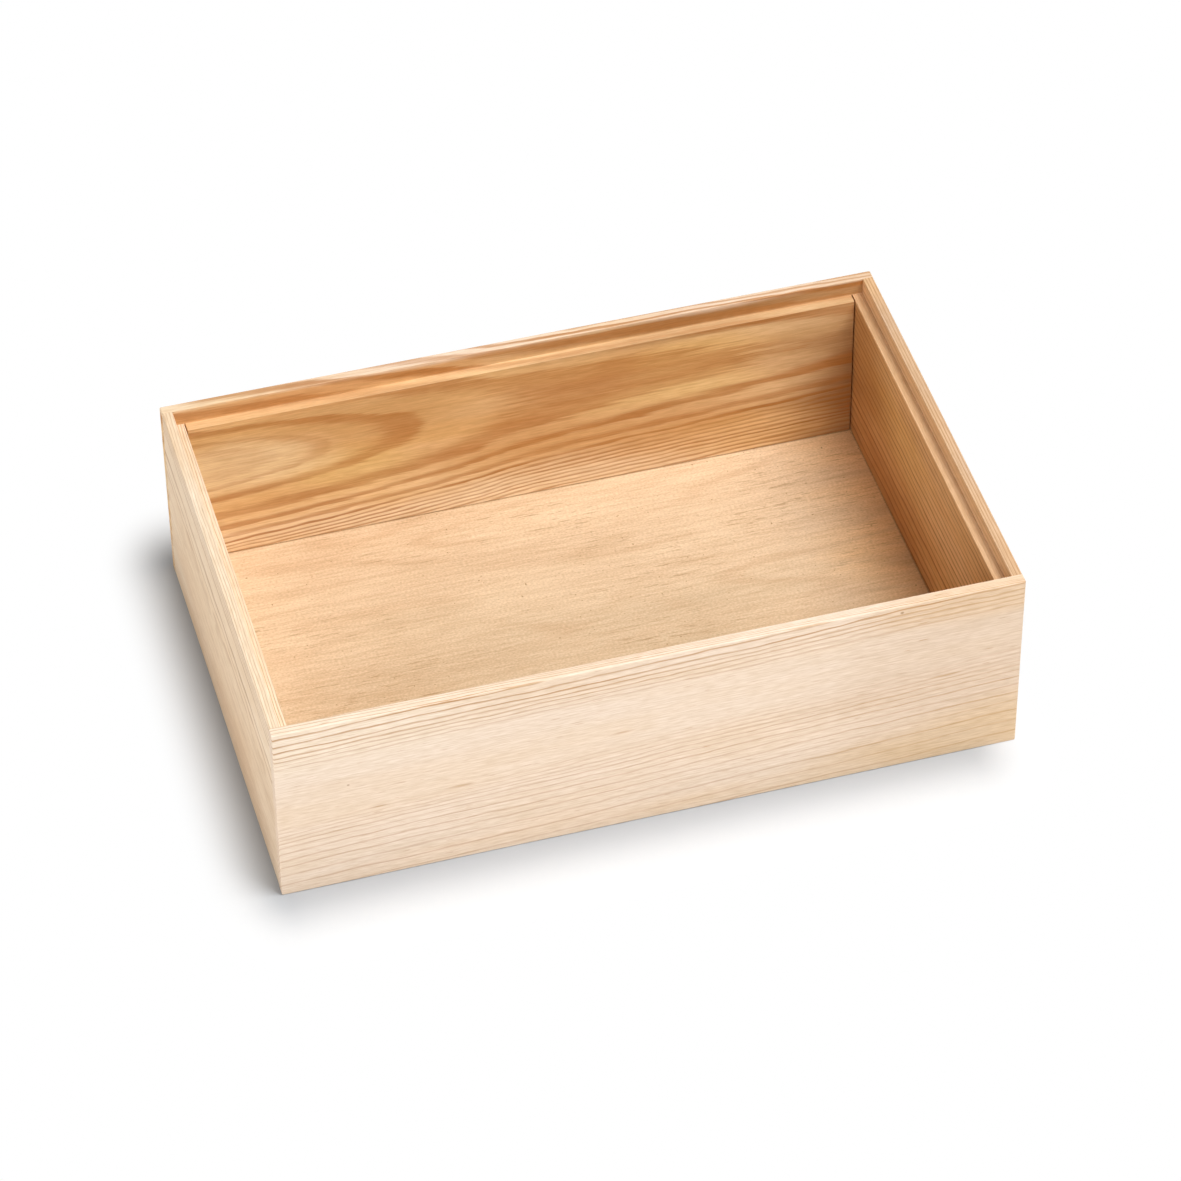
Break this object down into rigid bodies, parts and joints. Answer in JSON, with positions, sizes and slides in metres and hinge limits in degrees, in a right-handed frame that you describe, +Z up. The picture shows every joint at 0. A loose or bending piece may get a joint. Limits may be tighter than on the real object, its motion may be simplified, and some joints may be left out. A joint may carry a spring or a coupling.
{
  "type": "wooden storage box",
  "caption": "Open-topped pine storage box with rabbeted corners, a rebate round the inner top edge and a grooved-in plywood bottom, for papers, pens and keepsakes.",
  "frame": {"origin": "middle of the box's footprint, on the surface that it stands on", "axes": "+X along the front from left to right, +Y from the front wall to the back wall, +Z up"},
  "size_m": [0.24, 0.155, 0.07],
  "materials": {
    "pine": "planed and sanded pine, unvarnished, with fine straight and flat-sawn grain",
    "plywood": "thin sanded plywood, unvarnished, with short dark flecks"
  },
  "bodies": {
    "root": {"front_wall": "pine", "back_wall": "pine", "left_wall": "pine", "right_wall": "pine", "bottom_panel": "plywood"}
  },
  "joints": []
}
